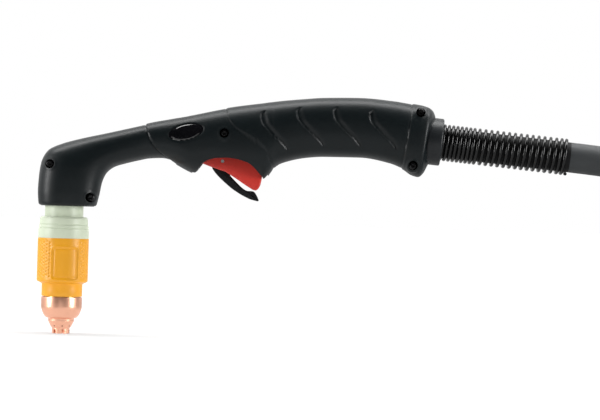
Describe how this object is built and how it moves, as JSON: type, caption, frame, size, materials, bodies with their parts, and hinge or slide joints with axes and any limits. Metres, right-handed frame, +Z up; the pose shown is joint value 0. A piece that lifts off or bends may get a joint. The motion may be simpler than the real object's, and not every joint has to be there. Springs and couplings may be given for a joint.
{
  "type": "hand-held plasma cutting torch",
  "caption": "Hand-held cutting torch: black grip with guarded trigger, drag shield and retaining cap on an angled head, spring strain relief, coiled lead and plug.",
  "frame": {"origin": "centre of the drag shield's tip face, where the torch stands on the work", "axes": "+Z up along the torch head's axis, +X from the head to the rear of the handle and the lead, y = 0 in the joint plane of the two handle shells"},
  "size_m": [0.5679, 0.2127, 0.1615],
  "materials": {
    "handle_plastic": "satin moulded black nylon with a fine spark texture",
    "badge_plastic": "high gloss black",
    "screw_steel": "black oxide, satin",
    "body_plastic": "satin heat-resistant moulding, pale grey green",
    "seal_rubber": "matte",
    "brass": "machined",
    "copper": "turned copper, light tool marks",
    "nozzle_copper": "turned copper, light tool marks",
    "swirl_plastic": "matte",
    "emitter_metal": "satin",
    "spring_steel": "bright wire",
    "yellow_plastic": "satin moulded, amber yellow",
    "sensor_plastic": "satin",
    "trigger_plastic": "satin moulded, red",
    "pin_steel": "bright, turned",
    "lever_plastic": "satin moulded, black",
    "hose_rubber": "matte",
    "wire_jacket": "satin",
    "control_jacket": "satin",
    "collar_plastic": "satin moulded",
    "black_spring": "gloss black coated wire",
    "lead_rubber": "matte dark grey with a fine drawn grain",
    "strap_fabric": "woven hook and loop strap",
    "connector_plastic": "satin moulded",
    "connector_ring": "satin moulded, ribbed",
    "contact_metal": "plated contacts"
  },
  "bodies": {
    "handle": {"handle_shell_left": "handle_plastic", "handle_shell_right": "handle_plastic", "handle_screws": "screw_steel", "handle_badge": "badge_plastic", "torch_main_body": "body_plastic", "body_o_ring": "seal_rubber", "cathode_block": "brass", "plunger_spring": "spring_steel", "cap_sensor_switch": "sensor_plastic", "trigger_pin": "pin_steel", "trigger_spring": "spring_steel", "start_switch": "sensor_plastic", "gas_tube": "hose_rubber", "pilot_wire": "wire_jacket", "control_wires": "control_jacket", "lead_clamp": "brass", "strain_relief_collar": "collar_plastic", "strain_relief_spring": "black_spring", "lead_jacket": "lead_rubber", "lead_run": "lead_rubber", "lead_coil": "lead_rubber", "lead_tail": "lead_rubber", "coil_tie": "strap_fabric", "connector_boot": "seal_rubber", "connector_shell": "connector_plastic", "connector_nut": "connector_ring", "connector_pins": "contact_metal"},
    "consumables": {"nozzle": "nozzle_copper", "swirl_ring": "swirl_plastic"},
    "cap": {"retaining_cap_insert": "brass", "retaining_cap_sleeve": "yellow_plastic", "retaining_cap_collar": "body_plastic", "drag_shield": "copper"},
    "electrode": {"electrode": "nozzle_copper", "emitter": "emitter_metal", "plunger": "brass"},
    "sensor_pin": {"cap_sensor_pin": "sensor_plastic"},
    "trigger": {"trigger": "trigger_plastic", "safety_pin": "pin_steel", "safety_spring": "spring_steel"},
    "safety_lever": {"safety_lever": "lever_plastic"},
    "start_button": {"start_switch_button": "trigger_plastic"}
  },
  "joints": [
    {"name": "cap_turn", "type": "hinge", "parent": "consumables", "child": "cap", "pos_m": [0, 0, 0.05], "axis": [0, 0, -1], "range_deg": [0, 1080.5]},
    {"name": "cap_travel", "type": "slide", "parent": "handle", "child": "consumables", "axis": [0, 0, -1], "range_m": [0, 0.0045]},
    {"name": "electrode_blow_back", "type": "slide", "parent": "handle", "child": "electrode", "axis": [0, 0, 1], "range_m": [0, 0.0015], "stiffness_N_per_m": 1500, "springref_m": -0.003, "deforming": ["plunger_spring"]},
    {"name": "cap_sensor", "type": "slide", "parent": "handle", "child": "sensor_pin", "axis": [0, 0, -1], "range_m": [0, 0.00101]},
    {"name": "trigger_pull", "type": "hinge", "parent": "handle", "child": "trigger", "pos_m": [0.0865, 0, 0.1128], "axis": [0, -1, 0], "range_deg": [0, 7.01], "stiffness_Nm_per_rad": 1, "springref_deg": -8.59, "deforming": ["trigger_spring"]},
    {"name": "safety_flip", "type": "hinge", "parent": "trigger", "child": "safety_lever", "pos_m": [0.0974, 0, 0.1095], "axis": [0, 1, 0], "range_deg": [0, 65], "stiffness_Nm_per_rad": 0.02, "springref_deg": -34.38},
    {"name": "start_button_push", "type": "slide", "parent": "handle", "child": "start_button", "axis": [0, 0, 1], "range_m": [0, 0.0022]}
  ],
  "couplings": [
    {"joint": "cap_turn", "follows": "cap_travel", "rad_per_m": 4188.8},
    {"joint": "cap_sensor", "follows": "cap_travel", "ratio": 0.22222},
    {"joint": "trigger_pull", "follows": "start_button_push", "rad_per_m": 55.533}
  ]
}
